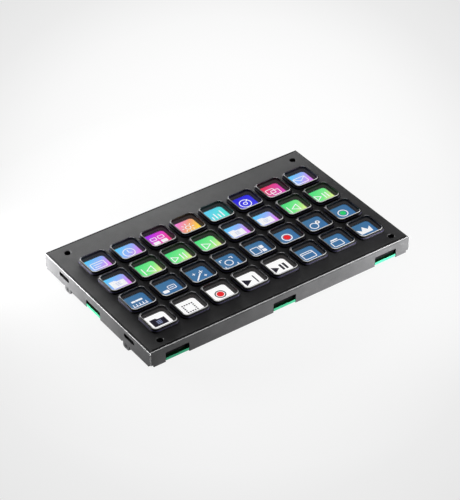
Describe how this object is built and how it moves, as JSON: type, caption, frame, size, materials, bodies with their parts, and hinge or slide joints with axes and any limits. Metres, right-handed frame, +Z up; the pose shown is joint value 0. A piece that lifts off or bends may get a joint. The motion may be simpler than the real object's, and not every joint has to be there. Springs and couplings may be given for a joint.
{
  "type": "display key keypad module",
  "caption": "Flat keypad module: rows of square spring-backed display keys over one colour display, in a folded metal housing closed by a circuit board.",
  "frame": {"origin": "middle of the module's outline on the plane that its four lugs rest on", "axes": "+X to the right along the long side, +Y from the front row of keys to the back row, +Z up through the keys"},
  "size_m": [0.1686, 0.1026, 0.0151],
  "materials": {
    "housing_sheet": "satin dark grey powder coat on folded sheet",
    "key_plastic": "polished moulding with black sides and a clear middle",
    "silicone": "milky silicone",
    "board": "green solder mask",
    "ribbon": "amber film",
    "connector_body": "moulded",
    "plated_steel": "tin plated",
    "black_steel": "blackened",
    "display_glass": "polished",
    "chip_body": "moulded epoxy",
    "white_film": "matte film",
    "clear_plastic": "polished",
    "foam": "fine foam",
    "ferrite": "pressed ferrite",
    "ceramic": "fired ceramic with tinned ends"
  },
  "bodies": {
    "module": {"housing": "housing_sheet", "corner_nuts": "plated_steel", "key_membrane": "silicone", "switch_board": "board", "switch_flex": "ribbon", "switch_connector": "connector_body", "lcd_frame": "plated_steel", "lcd_glass": "display_glass", "lcd_drivers": "chip_body", "lcd_films": "white_film", "light_guide": "clear_plastic", "reflector_sheet": "white_film", "led_strip": "board", "lcd_tray": "plated_steel", "lcd_flex": "ribbon", "lcd_connector": "connector_body", "foam_strips": "foam", "insulating_film": "white_film", "main_board": "board", "board_blocks": "plated_steel", "lug_screws": "black_steel", "usb_receptacle": "plated_steel", "controller_chip": "chip_body", "memory_chips": "chip_body", "power_inductors": "ferrite", "crystal": "plated_steel", "chip_capacitors": "ceramic", "regulator_chips": "chip_body"},
    "key_r1c1": {"key_r1c1": "key_plastic"},
    "key_r1c2": {"key_r1c2": "key_plastic"},
    "key_r1c3": {"key_r1c3": "key_plastic"},
    "key_r1c4": {"key_r1c4": "key_plastic"},
    "key_r1c5": {"key_r1c5": "key_plastic"},
    "key_r1c6": {"key_r1c6": "key_plastic"},
    "key_r1c7": {"key_r1c7": "key_plastic"},
    "key_r1c8": {"key_r1c8": "key_plastic"},
    "key_r2c1": {"key_r2c1": "key_plastic"},
    "key_r2c2": {"key_r2c2": "key_plastic"},
    "key_r2c3": {"key_r2c3": "key_plastic"},
    "key_r2c4": {"key_r2c4": "key_plastic"},
    "key_r2c5": {"key_r2c5": "key_plastic"},
    "key_r2c6": {"key_r2c6": "key_plastic"},
    "key_r2c7": {"key_r2c7": "key_plastic"},
    "key_r2c8": {"key_r2c8": "key_plastic"},
    "key_r3c1": {"key_r3c1": "key_plastic"},
    "key_r3c2": {"key_r3c2": "key_plastic"},
    "key_r3c3": {"key_r3c3": "key_plastic"},
    "key_r3c4": {"key_r3c4": "key_plastic"},
    "key_r3c5": {"key_r3c5": "key_plastic"},
    "key_r3c6": {"key_r3c6": "key_plastic"},
    "key_r3c7": {"key_r3c7": "key_plastic"},
    "key_r3c8": {"key_r3c8": "key_plastic"},
    "key_r4c1": {"key_r4c1": "key_plastic"},
    "key_r4c2": {"key_r4c2": "key_plastic"},
    "key_r4c3": {"key_r4c3": "key_plastic"},
    "key_r4c4": {"key_r4c4": "key_plastic"},
    "key_r4c5": {"key_r4c5": "key_plastic"},
    "key_r4c6": {"key_r4c6": "key_plastic"},
    "key_r4c7": {"key_r4c7": "key_plastic"},
    "key_r4c8": {"key_r4c8": "key_plastic"}
  },
  "joints": [
    {"name": "press_r1c1", "type": "slide", "parent": "module", "child": "key_r1c1", "axis": [0, 0, -1], "range_m": [0, 0.001], "stiffness_N_per_m": 300, "springref_m": -0.0007, "deforming": ["key_membrane"]},
    {"name": "press_r1c2", "type": "slide", "parent": "module", "child": "key_r1c2", "axis": [0, 0, -1], "range_m": [0, 0.001], "stiffness_N_per_m": 300, "springref_m": -0.0007, "deforming": ["key_membrane"]},
    {"name": "press_r1c3", "type": "slide", "parent": "module", "child": "key_r1c3", "axis": [0, 0, -1], "range_m": [0, 0.001], "stiffness_N_per_m": 300, "springref_m": -0.0007, "deforming": ["key_membrane"]},
    {"name": "press_r1c4", "type": "slide", "parent": "module", "child": "key_r1c4", "axis": [0, 0, -1], "range_m": [0, 0.001], "stiffness_N_per_m": 300, "springref_m": -0.0007, "deforming": ["key_membrane"]},
    {"name": "press_r1c5", "type": "slide", "parent": "module", "child": "key_r1c5", "axis": [0, 0, -1], "range_m": [0, 0.001], "stiffness_N_per_m": 300, "springref_m": -0.0007, "deforming": ["key_membrane"]},
    {"name": "press_r1c6", "type": "slide", "parent": "module", "child": "key_r1c6", "axis": [0, 0, -1], "range_m": [0, 0.001], "stiffness_N_per_m": 300, "springref_m": -0.0007, "deforming": ["key_membrane"]},
    {"name": "press_r1c7", "type": "slide", "parent": "module", "child": "key_r1c7", "axis": [0, 0, -1], "range_m": [0, 0.001], "stiffness_N_per_m": 300, "springref_m": -0.0007, "deforming": ["key_membrane"]},
    {"name": "press_r1c8", "type": "slide", "parent": "module", "child": "key_r1c8", "axis": [0, 0, -1], "range_m": [0, 0.001], "stiffness_N_per_m": 300, "springref_m": -0.0007, "deforming": ["key_membrane"]},
    {"name": "press_r2c1", "type": "slide", "parent": "module", "child": "key_r2c1", "axis": [0, 0, -1], "range_m": [0, 0.001], "stiffness_N_per_m": 300, "springref_m": -0.0007, "deforming": ["key_membrane"]},
    {"name": "press_r2c2", "type": "slide", "parent": "module", "child": "key_r2c2", "axis": [0, 0, -1], "range_m": [0, 0.001], "stiffness_N_per_m": 300, "springref_m": -0.0007, "deforming": ["key_membrane"]},
    {"name": "press_r2c3", "type": "slide", "parent": "module", "child": "key_r2c3", "axis": [0, 0, -1], "range_m": [0, 0.001], "stiffness_N_per_m": 300, "springref_m": -0.0007, "deforming": ["key_membrane"]},
    {"name": "press_r2c4", "type": "slide", "parent": "module", "child": "key_r2c4", "axis": [0, 0, -1], "range_m": [0, 0.001], "stiffness_N_per_m": 300, "springref_m": -0.0007, "deforming": ["key_membrane"]},
    {"name": "press_r2c5", "type": "slide", "parent": "module", "child": "key_r2c5", "axis": [0, 0, -1], "range_m": [0, 0.001], "stiffness_N_per_m": 300, "springref_m": -0.0007, "deforming": ["key_membrane"]},
    {"name": "press_r2c6", "type": "slide", "parent": "module", "child": "key_r2c6", "axis": [0, 0, -1], "range_m": [0, 0.001], "stiffness_N_per_m": 300, "springref_m": -0.0007, "deforming": ["key_membrane"]},
    {"name": "press_r2c7", "type": "slide", "parent": "module", "child": "key_r2c7", "axis": [0, 0, -1], "range_m": [0, 0.001], "stiffness_N_per_m": 300, "springref_m": -0.0007, "deforming": ["key_membrane"]},
    {"name": "press_r2c8", "type": "slide", "parent": "module", "child": "key_r2c8", "axis": [0, 0, -1], "range_m": [0, 0.001], "stiffness_N_per_m": 300, "springref_m": -0.0007, "deforming": ["key_membrane"]},
    {"name": "press_r3c1", "type": "slide", "parent": "module", "child": "key_r3c1", "axis": [0, 0, -1], "range_m": [0, 0.001], "stiffness_N_per_m": 300, "springref_m": -0.0007, "deforming": ["key_membrane"]},
    {"name": "press_r3c2", "type": "slide", "parent": "module", "child": "key_r3c2", "axis": [0, 0, -1], "range_m": [0, 0.001], "stiffness_N_per_m": 300, "springref_m": -0.0007, "deforming": ["key_membrane"]},
    {"name": "press_r3c3", "type": "slide", "parent": "module", "child": "key_r3c3", "axis": [0, 0, -1], "range_m": [0, 0.001], "stiffness_N_per_m": 300, "springref_m": -0.0007, "deforming": ["key_membrane"]},
    {"name": "press_r3c4", "type": "slide", "parent": "module", "child": "key_r3c4", "axis": [0, 0, -1], "range_m": [0, 0.001], "stiffness_N_per_m": 300, "springref_m": -0.0007, "deforming": ["key_membrane"]},
    {"name": "press_r3c5", "type": "slide", "parent": "module", "child": "key_r3c5", "axis": [0, 0, -1], "range_m": [0, 0.001], "stiffness_N_per_m": 300, "springref_m": -0.0007, "deforming": ["key_membrane"]},
    {"name": "press_r3c6", "type": "slide", "parent": "module", "child": "key_r3c6", "axis": [0, 0, -1], "range_m": [0, 0.001], "stiffness_N_per_m": 300, "springref_m": -0.0007, "deforming": ["key_membrane"]},
    {"name": "press_r3c7", "type": "slide", "parent": "module", "child": "key_r3c7", "axis": [0, 0, -1], "range_m": [0, 0.001], "stiffness_N_per_m": 300, "springref_m": -0.0007, "deforming": ["key_membrane"]},
    {"name": "press_r3c8", "type": "slide", "parent": "module", "child": "key_r3c8", "axis": [0, 0, -1], "range_m": [0, 0.001], "stiffness_N_per_m": 300, "springref_m": -0.0007, "deforming": ["key_membrane"]},
    {"name": "press_r4c1", "type": "slide", "parent": "module", "child": "key_r4c1", "axis": [0, 0, -1], "range_m": [0, 0.001], "stiffness_N_per_m": 300, "springref_m": -0.0007, "deforming": ["key_membrane"]},
    {"name": "press_r4c2", "type": "slide", "parent": "module", "child": "key_r4c2", "axis": [0, 0, -1], "range_m": [0, 0.001], "stiffness_N_per_m": 300, "springref_m": -0.0007, "deforming": ["key_membrane"]},
    {"name": "press_r4c3", "type": "slide", "parent": "module", "child": "key_r4c3", "axis": [0, 0, -1], "range_m": [0, 0.001], "stiffness_N_per_m": 300, "springref_m": -0.0007, "deforming": ["key_membrane"]},
    {"name": "press_r4c4", "type": "slide", "parent": "module", "child": "key_r4c4", "axis": [0, 0, -1], "range_m": [0, 0.001], "stiffness_N_per_m": 300, "springref_m": -0.0007, "deforming": ["key_membrane"]},
    {"name": "press_r4c5", "type": "slide", "parent": "module", "child": "key_r4c5", "axis": [0, 0, -1], "range_m": [0, 0.001], "stiffness_N_per_m": 300, "springref_m": -0.0007, "deforming": ["key_membrane"]},
    {"name": "press_r4c6", "type": "slide", "parent": "module", "child": "key_r4c6", "axis": [0, 0, -1], "range_m": [0, 0.001], "stiffness_N_per_m": 300, "springref_m": -0.0007, "deforming": ["key_membrane"]},
    {"name": "press_r4c7", "type": "slide", "parent": "module", "child": "key_r4c7", "axis": [0, 0, -1], "range_m": [0, 0.001], "stiffness_N_per_m": 300, "springref_m": -0.0007, "deforming": ["key_membrane"]},
    {"name": "press_r4c8", "type": "slide", "parent": "module", "child": "key_r4c8", "axis": [0, 0, -1], "range_m": [0, 0.001], "stiffness_N_per_m": 300, "springref_m": -0.0007, "deforming": ["key_membrane"]}
  ]
}
